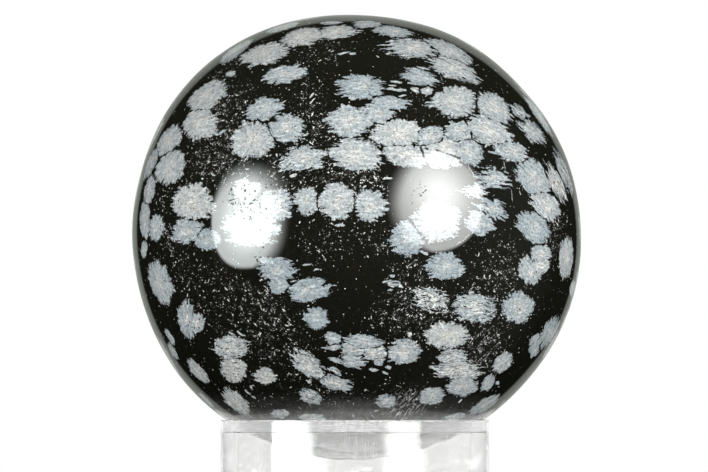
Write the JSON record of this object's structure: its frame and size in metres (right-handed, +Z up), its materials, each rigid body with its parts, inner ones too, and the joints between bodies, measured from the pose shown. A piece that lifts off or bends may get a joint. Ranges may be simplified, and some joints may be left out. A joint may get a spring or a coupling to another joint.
{
  "type": "polished stone sphere on a ring stand",
  "caption": "Polished snowflake obsidian sphere, black with pale flakes, resting on a short clear acrylic ring stand.",
  "frame": {"origin": "centre of the ring's underside, on the surface that the stand rests on", "axes": "+Z up through the centres of the ring and the sphere; -Y is the side that the picture shows, with +X to its right"},
  "size_m": [0.085, 0.085, 0.1027],
  "materials": {
    "obsidian": "polished to a gloss, black volcanic glass with flush pale grey snowflake crystals",
    "acrylic": "clear, polished tube with a lightly worn surface"
  },
  "bodies": {
    "root": {"snowflake_obsidian_sphere": "obsidian", "clear_acrylic_ring": "acrylic"}
  },
  "joints": []
}
